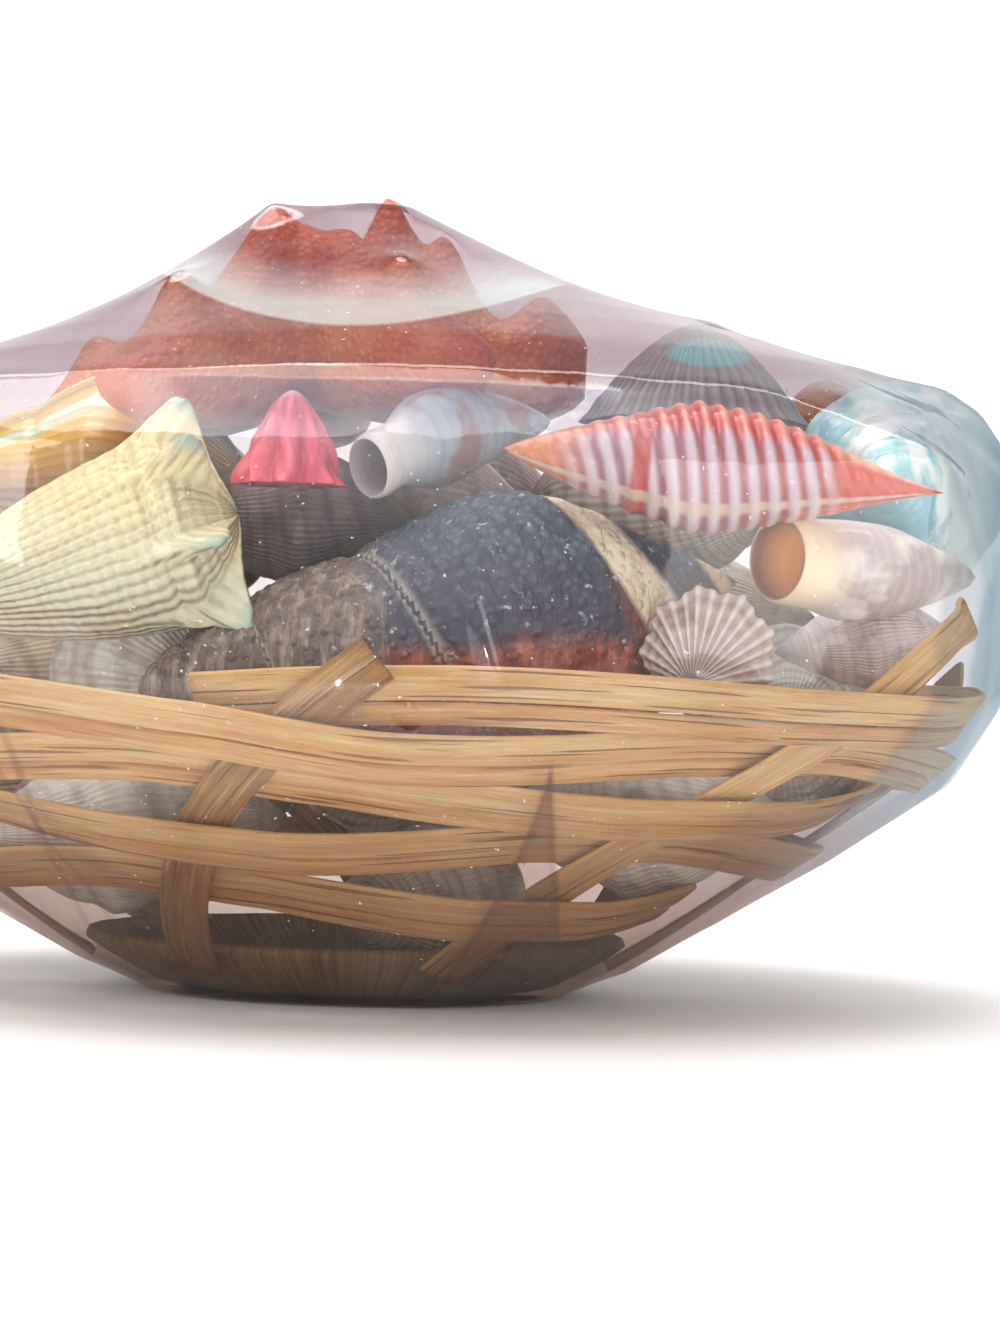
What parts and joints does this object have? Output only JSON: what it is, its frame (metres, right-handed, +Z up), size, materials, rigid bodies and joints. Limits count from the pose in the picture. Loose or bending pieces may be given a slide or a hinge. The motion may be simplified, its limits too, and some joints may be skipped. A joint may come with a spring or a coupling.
{
  "type": "shell_basket",
  "caption": "Small oval basket of woven flat reed, heaped with sea shells under a red sea star and shrink-wrapped in clear film",
  "frame": {"origin": "centre of the bounding box at its underside, on the table", "axes": "+X to the right along the length of the basket, +Y away from the viewer, +Z up"},
  "size_m": [0.2076, 0.148, 0.123],
  "materials": {
    "basket_base": "split flat reed, bare, satin",
    "stake_1": "split flat reed, bare, satin",
    "stake_2": "split flat reed, bare, satin",
    "stake_3": "split flat reed, bare, satin",
    "stake_4": "split flat reed, bare, satin",
    "stake_5": "split flat reed, bare, satin",
    "stake_6": "split flat reed, bare, satin",
    "stake_7": "split flat reed, bare, satin",
    "weaver_upper": "split flat reed, bare, satin",
    "weaver_lower": "split flat reed, bare, satin",
    "under_left_front": "natural sea shell, satin",
    "under_left_back": "natural sea shell, satin",
    "under_middle": "natural sea shell, satin",
    "under_right_front": "natural sea shell, satin",
    "under_right_back": "natural sea shell, satin",
    "inner_left_end": "natural sea shell, satin",
    "inner_left": "natural sea shell, satin",
    "inner_middle": "natural sea shell, satin",
    "inner_right": "natural sea shell, satin",
    "inner_right_end": "natural sea shell, satin",
    "back_left": "natural sea shell, satin",
    "back_middle": "natural sea shell, satin",
    "back_right": "natural sea shell, satin",
    "banded_whelk": "natural sea shell, satin",
    "cream_shell": "natural sea shell, satin",
    "dark_shell": "natural sea shell, satin",
    "striped_shell": "natural sea shell, satin",
    "inner_top": "natural sea shell, satin",
    "inner_top_right": "natural sea shell, satin",
    "pink_shell": "natural sea shell, satin",
    "mottled_shell": "natural sea shell, satin",
    "fan_shell": "natural sea shell, satin",
    "orange_mouth_shell": "natural sea shell, satin",
    "right_end_small": "natural sea shell, satin",
    "turquoise_shell": "natural sea shell, satin",
    "spindle_shell": "natural sea shell, satin",
    "curled_shell": "natural sea shell, satin",
    "dome_shell": "natural sea shell, satin",
    "brown_shell": "natural sea shell, satin",
    "left_end_small": "natural sea shell, satin",
    "left_end_upper": "natural sea shell, satin",
    "back_upper_left": "natural sea shell, satin",
    "back_upper_right": "natural sea shell, satin",
    "sea_star": "dried, dull orange red with paler knobs",
    "shrink_film": "clear, shrunk tight, high gloss"
  },
  "bodies": {
    "root": {"basket_base": "basket_base", "stake_1": "stake_1", "stake_2": "stake_2", "stake_3": "stake_3", "stake_4": "stake_4", "stake_5": "stake_5", "stake_6": "stake_6", "stake_7": "stake_7", "weaver_upper": "weaver_upper", "weaver_lower": "weaver_lower", "under_left_front": "under_left_front", "under_left_back": "under_left_back", "under_middle": "under_middle", "under_right_front": "under_right_front", "under_right_back": "under_right_back", "inner_left_end": "inner_left_end", "inner_left": "inner_left", "inner_middle": "inner_middle", "inner_right": "inner_right", "inner_right_end": "inner_right_end", "back_left": "back_left", "back_middle": "back_middle", "back_right": "back_right", "banded_whelk": "banded_whelk", "cream_shell": "cream_shell", "dark_shell": "dark_shell", "striped_shell": "striped_shell", "inner_top": "inner_top", "inner_top_right": "inner_top_right", "pink_shell": "pink_shell", "mottled_shell": "mottled_shell", "fan_shell": "fan_shell", "orange_mouth_shell": "orange_mouth_shell", "right_end_small": "right_end_small", "turquoise_shell": "turquoise_shell", "spindle_shell": "spindle_shell", "curled_shell": "curled_shell", "dome_shell": "dome_shell", "brown_shell": "brown_shell", "left_end_small": "left_end_small", "left_end_upper": "left_end_upper", "back_upper_left": "back_upper_left", "back_upper_right": "back_upper_right", "sea_star": "sea_star", "shrink_film": "shrink_film"}
  },
  "joints": []
}
